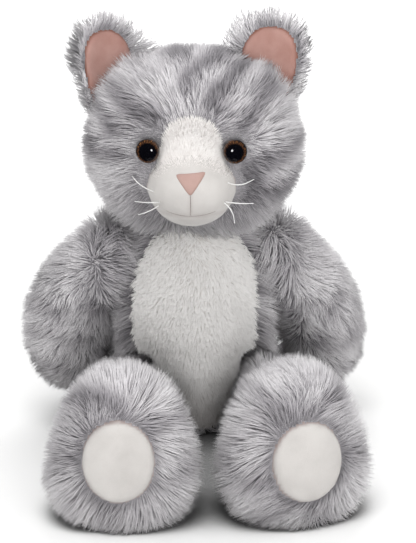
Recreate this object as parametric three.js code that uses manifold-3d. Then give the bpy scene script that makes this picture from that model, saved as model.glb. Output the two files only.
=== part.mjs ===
// A sitting plush cat, in millimetres. +Z is up, the face and the soles look towards -Y, and the origin
// is the middle of the flat seat under the torso. Left and right are the cat's own: left is +X.
// Every stuffed part is a thin sewn cover around a filling, and limbs, head and tail are sewn to the
// torso by a ring of thread, on which they turn.

import * as THREE from "three";
import { mergeVertices } from "three/addons/utils/BufferGeometryUtils.js";
import Module from "manifold-3d";

const wasm = await Module();
wasm.setup();

// Fabric and fits
const COVER = 2.4; // pile fabric with its backing
const GAP = 0.3; // between pieces that touch
const THREAD = 0.9; // radius of a sewn ring of doubled thread
const SEAM_ROOM = 2 * (THREAD + GAP); // between the two faces that a sewn ring joins
const FAR = 400; // larger than the toy
const INNER_DETAIL = 0.7; // share of facets on the unseen inner forms

// Torso
const TORSO_TOP = 154; // where the neck is sewn
const TORSO_BACK = 39; // where the tail is sewn
const PELLET_HEIGHT = 24; // top of the pellet bag in the seat
const TUMMY = { x: -2.5, halfWidth: 42, low: 8, high: 151 };

// Places where limbs are sewn on
const SHOULDER = { x: 42, y: 2, z: 134, radius: 25, seam: 18 };
const HIP = { x: 28, y: 2, z: 27, radius: 26, seam: 20 };
const NECK = { y: -4, radius: 24 };
const TAIL = { z: 19, radius: 11.5, patch: 14 };
const LIMB_ROOM = 1.5; // between a limb and the edge of the flat that it is sewn to
const ARM_ROOT = 23; // radius of the arm where it is sewn on
const ARM_CLEAR = 52; // the arm keeps outside this, except at its root

// Head
const HEAD_TURN = -5; // degrees, the head looks a little to its own right
const HEAD_BASE = TORSO_TOP + SEAM_ROOM;
const EYE = { x: 27.5, y: -57.5, z: 211, radius: 8, turn: 18, stem: 1.8, stemLength: 9 };
const EYE_WASHER = { radius: 6, thick: 1.6 };
const LIP_LINE = 171; // height where lip and chin are sewn together
const WHISKER = 0.45; // radius
const EAR_GAP = 3; // room for the ear to fold
// The ears are sewn on by hand and aren't quite alike: place, and degrees turned about the upright
const EARS = {
  left: { x: 49, z: 246, turn: -8 },
  right: { x: -60, z: 243, turn: 38 },
};

// Feet, each with degrees that it is turned outwards and the height of its sole's middle
const FOOT = { x: 54, y: -156 };
const FEET = {
  left: { turn: 12, soleHeight: 43 },
  right: { turn: 5, soleHeight: 46 },
};
const SOLE = { halfWidth: 23.5, halfHeight: 26.5 };
const PAW_OUT = { left: 4, right: 0 }; // how much further out each paw hangs

// Colours
const COLOURS = {
  greyPile: 0xa09ea0,
  whitePile: 0xdcd9d4,
  velour: 0xd9d5cd,
  pink: 0xd9a396,
  nosePink: 0xe8b0a4,
  eye: 0x1a120c,
  stuffing: 0xf2f1ec,
  pelletBag: 0xcfc8b8,
  thread: 0x77757a,
  whisker: 0xf0efec,
  plastic: 0xe6e4df,
};

const UP = new THREE.Vector3(0, 0, 1);
const SIDEWAYS = new THREE.Vector3(1, 0, 0);

const cat = new THREE.Group();
const head = new THREE.Group();
head.position.set(0, NECK.y, 0);
head.rotation.z = THREE.MathUtils.degToRad(HEAD_TURN);
cat.add(head);

// ---- Solids ---------------------------------------------------------------------------------------

function solidOf(geometry) {
  geometry.deleteAttribute("normal");
  geometry.deleteAttribute("uv");
  const merged = mergeVertices(geometry, 1e-4);
  return new wasm.Manifold(
    new wasm.Mesh({
      numProp: 3,
      vertProperties: merged.attributes.position.array,
      triVerts: new Uint32Array(merged.index.array),
    }),
  );
}

function geometryOf(solid) {
  const mesh = solid.getMesh();
  const geometry = new THREE.BufferGeometry();
  geometry.setAttribute("position", new THREE.BufferAttribute(mesh.vertProperties, 3));
  geometry.setIndex(new THREE.BufferAttribute(mesh.triVerts, 1));
  geometry.computeVertexNormals();
  return geometry;
}

// A closed, round-ended body along a spine. A station is [x, y, z, half width, half depth], the width
// lying along `across`. Inset makes the same body thinner all over, and cup curls its sides.
function loftedBody(stations, options = {}) {
  const { sides = 16, rings = 10, fullness = 2.5, inset = 0, cup = 0, across = SIDEWAYS } = options;
  const spine = new THREE.CatmullRomCurve3(stations.map(([x, y, z]) => new THREE.Vector3(x, y, z)));
  const sizes = new THREE.CatmullRomCurve3(stations.map(([, , , w, d]) => new THREE.Vector3(w, d, 0)));
  const trim = inset / spine.getLength();
  const detail = inset > 0 ? INNER_DETAIL : 1;
  const geometry = new THREE.SphereGeometry(1, Math.round(sides * detail), Math.round(rings * detail));
  const place = geometry.attributes.position;
  const unit = new THREE.Vector3();
  for (let i = 0; i < place.count; i++) {
    unit.fromBufferAttribute(place, i);
    const along = (1 + unit.y) / 2;
    const round = Math.hypot(unit.x, unit.z);
    const swell = (1 - Math.abs(2 * along - 1) ** fullness) ** (1 / fullness);
    const t = THREE.MathUtils.clamp(trim + (1 - 2 * trim) * along, 0, 1);
    const tangent = spine.getTangent(t);
    const side = across.clone().addScaledVector(tangent, -across.dot(tangent)).normalize();
    const depth = side.clone().cross(tangent);
    const size = sizes.getPoint(t).subScalar(inset);
    const u = round > 1e-6 ? (unit.x / round) * swell : 0;
    const v = round > 1e-6 ? (unit.z / round) * swell : 0;
    const at = spine.getPoint(t);
    at.addScaledVector(side, u * Math.max(size.x, 0.4));
    at.addScaledVector(depth, v * Math.max(size.y, 0.4) + cup * u * u);
    place.setXYZ(i, at.x, at.y, at.z);
  }
  return solidOf(geometry);
}

function box(low, high) {
  const size = high.map((h, i) => h - low[i]);
  const geometry = new THREE.BoxGeometry(...size);
  geometry.translate(...low.map((l, i) => l + size[i] / 2));
  return solidOf(geometry);
}

// Everything above (or below) a height
const above = (z) => box([-FAR, -FAR, z], [FAR, FAR, FAR]);
const below = (z) => box([-FAR, -FAR, -FAR], [FAR, FAR, z]);

// A round bar along X, on the side given by sign, from one distance from the middle to another
function barAlongX(sign, { y, z, radius }, from, to, sides = 20) {
  const geometry = new THREE.CylinderGeometry(radius, radius, to - from, sides);
  geometry.rotateZ(Math.PI / 2);
  geometry.translate((sign * (from + to)) / 2, y, z);
  return solidOf(geometry);
}

function ringOfThread(radius) {
  const profile = [];
  const points = 5;
  for (let i = 0; i <= points; i++) {
    const angle = (i / points) * 2 * Math.PI;
    profile.push(new THREE.Vector2(radius + THREAD * Math.cos(angle), THREAD * Math.sin(angle)));
  }
  return new THREE.LatheGeometry(profile, 18);
}

function tubeAlong(points, radius, sides = 6, steps = 6) {
  const section = new THREE.Shape();
  section.absarc(0, 0, radius, 0, 2 * Math.PI);
  const path = new THREE.CatmullRomCurve3(points.map((p) => new THREE.Vector3(...p)));
  return new THREE.ExtrudeGeometry(section, {
    steps,
    curveSegments: sides / 2,
    bevelEnabled: false,
    extrudePath: path,
  });
}

function addPiece(group, name, shape, color, roughness = 0.95) {
  const geometry = shape.isBufferGeometry ? shape : geometryOf(shape);
  const material = new THREE.MeshStandardMaterial({ color, roughness, metalness: 0 });
  const mesh = new THREE.Mesh(geometry, material);
  mesh.name = name;
  group.add(mesh);
  return mesh;
}

const SIDES = [
  { name: "left", sign: 1 },
  { name: "right", sign: -1 },
];

// ---- Torso ----------------------------------------------------------------------------------------

// The torso's form, thinner by inset; the neck is left open above `top`.
function torsoForm(inset, top) {
  let form = loftedBody(
    [
      [0, 0, -9, 31, 37],
      [0, -3, 34, 36, 44],
      [0, -5, 76, 49, 46],
      [0, -3, 120, 50, 43],
      [0, 0, 162, 48, 38],
    ],
    { sides: 22, rings: 12, fullness: 3.2, inset },
  );
  form = form.intersect(above(inset)).intersect(below(top));
  for (const { sign } of SIDES) {
    const shoulder = { ...SHOULDER, radius: SHOULDER.radius + LIMB_ROOM + inset };
    const hip = { ...HIP, radius: HIP.radius + LIMB_ROOM + inset };
    form = form.subtract(barAlongX(sign, shoulder, SHOULDER.x - inset, FAR));
    form = form.subtract(barAlongX(sign, hip, HIP.x - inset, FAR));
    form = form.subtract(thighRoom(sign, inset));
  }
  const tailPatch = new THREE.CylinderGeometry(TAIL.patch + inset, TAIL.patch + inset, FAR, 14);
  tailPatch.translate(0, TORSO_BACK - inset + FAR / 2, 0);
  tailPatch.translate(0, 0, TAIL.z);
  return form.subtract(solidOf(tailPatch));
}

// The room in front of and below the hip that the thigh sweeps through
function thighRoom(sign, inset) {
  const reach = HIP.radius + LIMB_ROOM + inset;
  const geometry = new THREE.BoxGeometry(FAR, 90, FAR + reach);
  geometry.translate(sign * (FAR / 2 + HIP.x - inset), -45, (reach - FAR) / 2);
  geometry.rotateX(THREE.MathUtils.degToRad(-12));
  geometry.translate(0, HIP.y, HIP.z);
  const low = box([HIP.x - inset, -FAR, -FAR], [FAR, HIP.y + reach, HIP.z]);
  return solidOf(geometry).add(sign > 0 ? low : low.mirror([1, 0, 0]));
}

// The panel's outline, seen from the front: a long rounded rectangle
function tummyRegion(grow) {
  const middle = (TUMMY.low + TUMMY.high) / 2;
  const half = (TUMMY.high - TUMMY.low) / 2;
  const geometry = new THREE.CylinderGeometry(1, 1, 100, 24);
  const place = geometry.attributes.position;
  for (let i = 0; i < place.count; i++) {
    const x = place.getX(i);
    const z = place.getZ(i);
    const squareness = Math.hypot(x, z) / Math.max((x ** 6 + z ** 6) ** (1 / 6), 1e-6);
    place.setX(i, x * squareness * (TUMMY.halfWidth + grow) + TUMMY.x);
    place.setZ(i, z * squareness * (half + grow) + middle);
  }
  geometry.translate(0, -76, 0);
  return solidOf(geometry);
}

function makeTorso() {
  const shell = torsoForm(0, TORSO_TOP).subtract(torsoForm(COVER, FAR));
  const backLine = tubeAlong(
    [
      [0, 39.5, 52],
      [0, 42.5, 76],
      [0, 42, 100],
      [0, 38.5, 122],
    ],
    1.6,
  );
  const backSeam = solidOf(backLine).subtract(torsoForm(-GAP, TORSO_TOP));
  const inside = torsoForm(COVER + GAP, TORSO_TOP);
  addPiece(cat, "torso_cover", shell.subtract(tummyRegion(GAP)), COLOURS.greyPile);
  addPiece(cat, "tummy_panel", shell.intersect(tummyRegion(0)), COLOURS.whitePile);
  addPiece(cat, "torso_filling", inside.intersect(above(PELLET_HEIGHT + GAP)), COLOURS.stuffing);
  addPiece(cat, "seat_pellet_bag", inside.intersect(below(PELLET_HEIGHT)), COLOURS.pelletBag);
  addPiece(cat, "back_seam", backSeam, COLOURS.thread);
}

function makeSeams() {
  for (const { name, sign } of SIDES) {
    const shoulder = addPiece(cat, `${name}_shoulder_seam`, ringOfThread(SHOULDER.seam), COLOURS.thread);
    shoulder.rotation.z = Math.PI / 2;
    shoulder.position.set(sign * (SHOULDER.x + SEAM_ROOM / 2), SHOULDER.y, SHOULDER.z);
    const hip = addPiece(cat, `${name}_hip_seam`, ringOfThread(HIP.seam), COLOURS.thread);
    hip.rotation.z = Math.PI / 2;
    hip.position.set(sign * (HIP.x + SEAM_ROOM / 2), HIP.y, HIP.z);
  }
  const neck = addPiece(cat, "neck_seam", ringOfThread(NECK.radius), COLOURS.thread);
  neck.rotation.x = Math.PI / 2;
  neck.position.set(0, NECK.y, TORSO_TOP + SEAM_ROOM / 2);
  const tail = addPiece(cat, "tail_seam", ringOfThread(TAIL.radius / 2), COLOURS.thread);
  tail.position.set(0, TORSO_BACK + SEAM_ROOM / 2, TAIL.z);
}

// ---- Arms -----------------------------------------------------------------------------------------

// The arm leaves the shoulder at a slope and hangs beside the torso. `root` is the plane of its seam.
function armForm({ name, sign }, inset, root) {
  const out = PAW_OUT[name];
  const arm = loftedBody(
    [
      [sign * 26, 1, 146, 21, 22],
      [sign * 60, 3, 121, 24, 26],
      [sign * 84, 6, 88, 27, 27],
      [sign * (89 + out), 10, 56, 26, 25],
      [sign * (82 + out), 13, 27 - out, 22, 22],
    ],
    { sides: 16, rings: 11, fullness: 3, inset },
  );
  const free = box([ARM_CLEAR + inset, -FAR, -FAR], [FAR, FAR, FAR]);
  const outside = sign > 0 ? free : free.mirror([1, 0, 0]);
  const stub = barAlongX(sign, { ...SHOULDER, radius: ARM_ROOT - inset }, root, ARM_CLEAR + inset + 1);
  return arm.intersect(outside.add(stub));
}

function makeArm(side) {
  const root = SHOULDER.x + SEAM_ROOM;
  const cover = armForm(side, 0, root).subtract(armForm(side, COVER, 0));
  addPiece(cat, `${side.name}_arm_cover`, cover, COLOURS.greyPile);
  addPiece(cat, `${side.name}_arm_filling`, armForm(side, COVER + GAP, root), COLOURS.stuffing);
}

// ---- Legs -----------------------------------------------------------------------------------------

// A flat haunch and thigh that run forwards into a large upright foot
function legForm({ name, sign }, inset, root) {
  const thigh = loftedBody(
    [
      [sign * 44, 28, 27, 16, 23],
      [sign * 45, 0, 27, 16.5, 26],
      [sign * 46, -45, 27, 17, 26],
      [sign * 50, -95, 30, 22, 28],
      [sign * 55, -150, 36, 26, 30],
    ],
    { sides: 14, rings: 10, fullness: 3.4, inset },
  );
  const ankle = box([root, -FAR, inset], [FAR, FAR, FAR]);
  const leg = thigh.intersect(sign > 0 ? ankle : ankle.mirror([1, 0, 0]));
  return leg.add(placeAtFoot(footForm(inset), { name, sign })).intersect(above(inset));
}

function footForm(inset) {
  return loftedBody(
    [
      [0, 1, -3, 41, 36],
      [0, 0, 22, 43.5, 36],
      [0, -1, 46, 40, 34],
      [0, 1, 70, 33, 31],
      [0, 5, 93, 25, 27],
    ],
    { sides: 18, rings: 11, fullness: 2.8, inset },
  );
}

const placeAtFoot = (solid, { name, sign }) =>
  solid.rotate([0, 0, sign * FEET[name].turn]).translate([sign * FOOT.x, FOOT.y, 0]);

// The sole's outline, run through the front of the foot
function soleRegion(side, grow) {
  const bar = new THREE.CylinderGeometry(1, 1, 40, 22);
  bar.scale(SOLE.halfWidth + grow, 1, SOLE.halfHeight + grow);
  bar.translate(0, -38, FEET[side.name].soleHeight);
  return placeAtFoot(solidOf(bar), side);
}

function makeLeg(side) {
  const root = HIP.x + SEAM_ROOM;
  const shell = legForm(side, 0, root).subtract(legForm(side, COVER, 0));
  const filling = legForm(side, COVER + GAP, root);
  addPiece(cat, `${side.name}_leg_cover`, shell.subtract(soleRegion(side, GAP)), COLOURS.greyPile);
  addPiece(cat, `${side.name}_sole_pad`, shell.intersect(soleRegion(side, 0)), COLOURS.velour);
  addPiece(cat, `${side.name}_leg_filling`, filling, COLOURS.stuffing);
}

// ---- Tail -----------------------------------------------------------------------------------------

// The tail lies on the floor behind the seat and curls to one side. Its root is a round end, about
// whose middle it swings.
function tailForm(inset) {
  return loftedBody(
    [
      [0, TORSO_BACK + SEAM_ROOM, TAIL.z, TAIL.radius, TAIL.radius],
      [7, 63, 16, 12.5, 12.5],
      [31, 76, 14, 13, 13],
      [60, 76, 14, 13.3, 13],
      [84, 66, 14, 13, 13],
    ],
    { sides: 12, rings: 12, fullness: 2.8, inset, across: UP },
  );
}

function makeTail() {
  const opening = new THREE.CylinderGeometry(3.5, 3.5, 16, 8);
  opening.translate(0, TORSO_BACK + SEAM_ROOM, TAIL.z);
  const cover = tailForm(0).subtract(tailForm(COVER)).subtract(solidOf(opening));
  addPiece(cat, "tail_cover", cover, COLOURS.greyPile);
  addPiece(cat, "tail_filling", tailForm(COVER + GAP), COLOURS.stuffing);
}

// ---- Head: everything here is placed about the neck's axis ----------------------------------------

function headForm(inset, base) {
  const skull = loftedBody(
    [
      [0, -6, 149, 56, 50],
      [0, -7, 180, 69.5, 57],
      [0, -8, 208, 69.5, 58],
      [0, -6, 239, 61, 53],
      [0, -5, 265, 51, 44],
    ],
    { sides: 24, rings: 13, fullness: 2.5, inset },
  );
  return skull.add(muzzleForm(inset)).intersect(above(base));
}

function muzzleForm(inset) {
  return loftedBody(
    [
      [0, -20, 189, 25, 24],
      [0, -38, 187, 29.5, 28],
      [0, -56, 184, 29.5, 27],
      [0, -78, 182, 26, 23],
    ],
    { sides: 18, rings: 10, fullness: 2.4, inset },
  );
}

// The part of the face that is made of smooth cloth
function muzzleRegion(grow) {
  return loftedBody(
    [
      [0, -46, 184, 31, 27],
      [0, -60, 183, 31.5, 28],
      [0, -84, 182, 30, 27],
    ],
    { sides: 16, rings: 8, fullness: 3, inset: -grow },
  );
}

// A tapering strip from the muzzle up between the eyes
function blazeRegion(grow) {
  const outline = new THREE.Shape();
  outline.moveTo(-27 - grow, 186);
  outline.quadraticCurveTo(-22 - grow, 210, -15 - grow, 226);
  outline.quadraticCurveTo(0, 238 + grow, 15 + grow, 226);
  outline.quadraticCurveTo(22 + grow, 210, 27 + grow, 186);
  outline.closePath();
  const strip = new THREE.ExtrudeGeometry(outline, { depth: 60, bevelEnabled: false });
  strip.rotateX(Math.PI / 2);
  strip.translate(0, -20, 0);
  return solidOf(strip);
}

// Dome and stem of a safety eye, which looks a little outwards
function eyeForm(sign, grow) {
  const dome = new THREE.SphereGeometry(EYE.radius + grow, 14, 10);
  const stem = new THREE.CylinderGeometry(EYE.stem + grow, EYE.stem + grow, EYE.stemLength, 8);
  stem.translate(0, EYE.radius + EYE.stemLength / 2 - 1, 0);
  return placeAtEye(solidOf(dome).add(solidOf(stem)), sign);
}

const placeAtEye = (solid, sign) =>
  solid.rotate([0, 0, sign * EYE.turn]).translate([sign * EYE.x, EYE.y, EYE.z]);

function eyeWasher(sign, grow) {
  const disc = new THREE.CylinderGeometry(
    EYE_WASHER.radius + grow,
    EYE_WASHER.radius + grow,
    EYE_WASHER.thick + 2 * grow,
    12,
  );
  disc.translate(0, EYE.radius + 4.5, 0);
  return placeAtEye(solidOf(disc), sign);
}

function makeFace() {
  const face = headForm(0, HEAD_BASE);
  const shell = face.subtract(headForm(COVER, 0));
  let cover = shell.subtract(muzzleRegion(GAP)).subtract(blazeRegion(GAP));
  let blaze = shell.intersect(blazeRegion(0)).subtract(muzzleRegion(GAP));
  let filling = headForm(COVER + GAP, HEAD_BASE);
  for (const { name, sign } of SIDES) {
    cover = cover.subtract(eyeForm(sign, GAP));
    blaze = blaze.subtract(eyeForm(sign, GAP));
    filling = filling.subtract(eyeForm(sign, GAP)).subtract(eyeWasher(sign, GAP));
    addPiece(head, `${name}_eye`, eyeForm(sign, 0), COLOURS.eye, 0.1);
    const washer = eyeWasher(sign, 0).subtract(eyeForm(sign, GAP));
    addPiece(head, `${name}_eye_washer`, washer, COLOURS.plastic, 0.4);
  }
  const muzzle = shell.intersect(muzzleRegion(0));
  addPiece(head, "head_cover", cover, COLOURS.greyPile);
  addPiece(head, "blaze_panel", blaze, COLOURS.whitePile);
  addPiece(head, "muzzle_cover", muzzle.intersect(above(LIP_LINE + GAP)), COLOURS.velour);
  addPiece(head, "chin_panel", muzzle.intersect(below(LIP_LINE)), COLOURS.velour);
  addPiece(head, "head_filling", filling, COLOURS.stuffing);
}

// A soft triangle that points down
function makeNose() {
  const outline = new THREE.Shape();
  outline.moveTo(0, -6.5);
  outline.bezierCurveTo(3, -6.5, 9, 0.5, 9.3, 3);
  outline.bezierCurveTo(9.6, 6, 5, 5.6, 0, 5.6);
  outline.bezierCurveTo(-5, 5.6, -9.6, 6, -9.3, 3);
  outline.bezierCurveTo(-9, 0.5, -3, -6.5, 0, -6.5);
  const pad = new THREE.ExtrudeGeometry(outline, {
    depth: 8,
    curveSegments: 3,
    bevelThickness: 1.4,
    bevelSize: 1.2,
    bevelSegments: 2,
  });
  pad.rotateX(Math.PI / 2);
  pad.rotateX(THREE.MathUtils.degToRad(-14));
  pad.translate(0, -68, 192);
  const nose = solidOf(pad).subtract(headForm(-GAP, 0));
  addPiece(head, "nose", nose, COLOURS.nosePink, 0.7);
}

// The sewn line down from the nose, and the lip line to either side of it
function makeMouth() {
  const line = solidOf(
    tubeAlong(
      [
        [0, -77, 186],
        [0, -78, 179],
        [0, -76.5, 171.2],
      ],
      1.2,
    ),
  );
  const lip = solidOf(
    tubeAlong(
      [
        [-13, -71, 172.4],
        [-6, -75.5, 171.2],
        [0, -76.7, 171.6],
        [6, -75.5, 171.2],
        [13, -71, 172.4],
      ],
      1.2,
      6,
      10,
    ),
  );
  const stitch = line.add(lip).subtract(headForm(-GAP, 0));
  addPiece(head, "mouth_stitch", stitch, COLOURS.thread);
}

// Stiff threads that leave the muzzle's cheeks, each set by hand at its own slant: a point inside the
// muzzle, a bend and a tip
const WHISKERS = {
  left_upper: [[20, -60, 191], [32.9, -69.4, 191.4], [40.9, -69.7, 195]],
  left_middle: [[19, -63, 178.5], [32.4, -71.4, 179.3], [40.6, -72.7, 179.7]],
  left_lower: [[19, -64, 180], [26.6, -72, 174], [28.6, -73.8, 166.6]],
  right_upper: [[-20, -60, 182], [-32.8, -71.1, 191.3], [-37.8, -73.6, 197.5]],
  right_middle: [[-18, -66, 178.5], [-28.8, -74.8, 180.3], [-35.9, -77.4, 181.6]],
  right_lower: [[-19, -64, 176.5], [-29, -72.8, 173.1], [-34, -76.3, 172.5]],
};

function makeWhiskers() {
  for (const [name, points] of Object.entries(WHISKERS)) {
    const strand = solidOf(tubeAlong(points, WHISKER, 6, 6)).subtract(headForm(-GAP, 0));
    addPiece(head, `${name}_whisker`, strand, COLOURS.whisker, 0.5);
  }
}

// An upright leaf with its sides curled forwards. The lining is let into its front.
function earForm(sign, inset) {
  return loftedBody(
    [
      [sign * -4, 0, -30, 20, 4],
      [sign * -2, 0, -10, 24, 5],
      [0, 0, 10, 25, 5.5],
      [sign * 2, 0, 28, 24, 5],
      [sign * 3, 0, 44, 20, 4],
    ],
    { sides: 14, rings: 10, fullness: 2.8, inset, cup: 7 },
  );
}

function earLining(sign, grow) {
  return loftedBody(
    [
      [sign * -4, -4, -24, 12.5, 1.6],
      [sign * -2, -4.4, -8, 16.5, 1.9],
      [0, -4.4, 8, 18.5, 1.9],
      [sign * 2, -4.2, 24, 18.5, 1.9],
      [sign * 3, -3.4, 38, 15.5, 1.6],
    ],
    { sides: 14, rings: 9, fullness: 2.9, inset: -grow, cup: 5 },
  );
}

function makeEar({ name, sign }) {
  const roomForHead = headForm(-EAR_GAP, 0);
  const place = (solid) =>
    solid
      .rotate([0, sign * 4, EARS[name].turn])
      .translate([EARS[name].x, -1, EARS[name].z])
      .subtract(roomForHead);
  const back = earForm(sign, 0).subtract(earLining(sign, GAP));
  addPiece(head, `${name}_ear_back`, place(back), COLOURS.greyPile);
  addPiece(head, `${name}_ear_lining`, place(earLining(sign, 0)), COLOURS.pink, 0.8);
}

makeTorso();
makeSeams();
SIDES.forEach(makeArm);
SIDES.forEach(makeLeg);
makeTail();
makeFace();
makeNose();
makeMouth();
makeWhiskers();
SIDES.forEach(makeEar);

export default cat;
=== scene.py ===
"""A sitting plush cat with tabby pile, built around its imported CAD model. Metres, +Z up, the face
towards -Y. Every stuffed part is one smooth skin with pile grown on it, strand by strand."""

import math

import bmesh
import bpy
import numpy as np
from mathutils import Matrix, Vector
from mathutils.bvhtree import BVHTree
from mathutils.kdtree import KDTree


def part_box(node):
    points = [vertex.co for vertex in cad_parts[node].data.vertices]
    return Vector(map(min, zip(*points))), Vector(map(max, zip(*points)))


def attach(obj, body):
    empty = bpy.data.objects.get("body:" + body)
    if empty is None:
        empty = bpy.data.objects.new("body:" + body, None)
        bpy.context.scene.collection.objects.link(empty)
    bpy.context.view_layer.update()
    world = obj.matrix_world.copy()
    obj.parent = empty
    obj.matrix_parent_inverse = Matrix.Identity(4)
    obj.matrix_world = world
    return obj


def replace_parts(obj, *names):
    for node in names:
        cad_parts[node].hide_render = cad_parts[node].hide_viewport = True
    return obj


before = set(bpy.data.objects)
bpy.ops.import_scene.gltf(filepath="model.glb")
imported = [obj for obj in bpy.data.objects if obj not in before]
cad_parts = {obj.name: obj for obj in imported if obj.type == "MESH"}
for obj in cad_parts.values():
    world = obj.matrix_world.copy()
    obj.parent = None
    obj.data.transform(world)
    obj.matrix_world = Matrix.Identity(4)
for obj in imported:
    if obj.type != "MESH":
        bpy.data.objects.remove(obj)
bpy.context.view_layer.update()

MM = 0.001
SIDES = {"left": 1, "right": -1}
FLOOR_GAP = 0.4 * MM  # the lowest that a strand reaches

# How deep each fabric's base lies under the outside of its CAD solid
GREY_DEPTH = 3.2 * MM
WHITE_DEPTH = 2.4 * MM
TUCK = 2.6 * MM  # how deep a smooth panel's edge is pulled in by its seam
TUCK_WIDTH = 2.6 * MM

# The head is modelled looking straight ahead and then turned about the neck
HEAD_TURN = math.radians(-5)
NECK_AXIS = Vector((0, -4 * MM, 0))
HEAD_FRAME = Matrix.Translation(NECK_AXIS) @ Matrix.Rotation(HEAD_TURN, 4, "Z")


def unit(vectors):
    return vectors / np.maximum(np.linalg.norm(vectors, axis=-1, keepdims=True), 1e-12)


def ramp(values, low, high):
    """0 below low, 1 above high and smooth in between."""
    t = np.clip((values - low) / (high - low), 0, 1)
    return t * t * (3 - 2 * t)


def fade(values, low, high):
    """1 below low, 0 above high and smooth in between."""
    return ramp(-values, -high, -low)


def in_mm(points):
    """The x, y and z of points of the row frame, in millimetres."""
    return points.T / MM


def head_point(x, y, z):
    """A point given in millimetres in the head's own frame, in the row frame."""
    return HEAD_FRAME @ (Vector((x, y, z)) * MM)


def in_head_frame(points):
    """Points of the row frame, in millimetres in the head's own frame."""
    back = np.array(HEAD_FRAME.inverted())
    return (points @ back[:3, :3].T + back[:3, 3]) / MM


def patches(points, size, seed, stretch=(1, 1, 1)):
    """Smooth irregular patches between 0 and 1, about `size` across: waves in scattered directions."""
    rng = np.random.default_rng(seed)
    total = np.zeros(len(points))
    for _ in range(8):
        direction = unit(rng.normal(size=3)) / np.array(stretch)
        pace = 2 * math.pi / size * rng.uniform(0.6, 1.5)
        total += np.sin(points @ direction * pace + rng.uniform(0, 2 * math.pi))
    return 0.5 + 0.5 * np.tanh(total / 2.2)


# ---- Camera, lights and floor ----


def make_camera():
    """A long lens in front of the toy, a little above it."""
    distance, elevation, azimuth = 1.2, math.radians(17), math.radians(-3.2)
    aim = Vector((0, 0, 110 * MM))
    level = math.cos(elevation)
    back = Vector((math.sin(azimuth) * level, -math.cos(azimuth) * level, math.sin(elevation)))
    camera = bpy.data.objects.new("camera", bpy.data.cameras.new("camera"))
    camera.location = aim + back * distance
    camera.rotation_euler = (-back).to_track_quat("-Z", "Y").to_euler()
    camera.data.sensor_width = 36
    camera.data.lens = 113.6
    camera.data.shift_x = 0.026
    bpy.context.scene.collection.objects.link(camera)
    bpy.context.scene.camera = camera


LIT_POINT = Vector((0, -30 * MM, 120 * MM))  # every light is aimed here


def make_light(name, place, size, watts, mirrored=False):
    """A round soft light; only a mirrored one shows in the eyes."""
    light = bpy.data.objects.new(name, bpy.data.lights.new(name, "AREA"))
    light.data.shape = "DISK"
    light.data.size = size
    light.data.energy = watts
    light.location = place
    light.visible_glossy = mirrored
    light.rotation_euler = (LIT_POINT - light.location).to_track_quat("-Z", "Y").to_euler()
    bpy.context.scene.collection.objects.link(light)


def make_studio():
    """White all round, with four soft lights. Only the front one is mirrored, as one highlight."""
    world = bpy.data.worlds.new("studio")
    world.use_nodes = True
    background = world.node_tree.nodes["Background"]
    background.inputs["Color"].default_value = (1, 1, 1, 1)
    background.inputs["Strength"].default_value = 0.72
    world.cycles_visibility.glossy = False
    bpy.context.scene.world = world
    bpy.context.scene.view_settings.view_transform = "Standard"
    make_light("key", (-0.25, -0.55, 1.95), size=1.3, watts=22)
    make_light("fill", (0.9, -1.7, 0.9), size=1.2, watts=8)
    make_light("front", (-0.05, -1.9, 0.32), size=0.42, watts=9.5, mirrored=True)
    make_light("back", (0.2, 1.3, 1.5), size=1.2, watts=14)


FLOOR_WIDTH = 60
SHADE_REACH = 0.08  # how close the toy has to be to darken the paper
GLOW_PER_METRE = 0.45  # the paper glows more with distance, until it is plain white
GLOW_HELD_BACK = 0.12  # which keeps the glow away from the toy


def make_floor():
    """White paper with painted shadow, darker where the toy is close above it, and a painted glow that
    grows with distance until it is plain white.
    """
    bpy.ops.mesh.primitive_plane_add(size=FLOOR_WIDTH)
    floor = bpy.context.active_object
    floor.name = "floor"
    floor.visible_glossy = False
    paint = Paint("floor paper with painted shadow and glow", Roughness=0.9)
    grain = paint.node("ShaderNodeTexNoise", Scale=4.0, Detail=3.0)
    paper = paint.ramp(grain.outputs["Fac"], [(0.3, (0.78, 0.78, 0.777)), (0.7, (0.80, 0.80, 0.797))])
    # Painted contact shadow: the paper's colour is darkened where ambient occlusion finds the toy near
    around = paint.node("ShaderNodeAmbientOcclusion", samples=12, Distance=SHADE_REACH).outputs["AO"]
    painted_shadow = paint.ramp(around, [(0.29, (0.10,) * 3), (0.62, (1, 1, 1))])
    paint.colour(paint.mix(1.0, paper, painted_shadow, "MULTIPLY"))
    # Painted glow: the paper emits more light the farther it is from the toy
    point = paint.node("ShaderNodeTexCoord").outputs["Object"]
    reach = paint.node("ShaderNodeVectorMath", point, operation="LENGTH").outputs["Value"]
    glow = paint.math("MULTIPLY_ADD", reach, GLOW_PER_METRE, -GLOW_HELD_BACK, clamp=True)
    paint.shader.inputs["Emission Color"].default_value = (1, 1, 1, 1)
    paint.feed(paint.shader.inputs["Emission Strength"], glow)
    floor.data.materials.append(paint.material)


# ---- Materials ----


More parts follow.
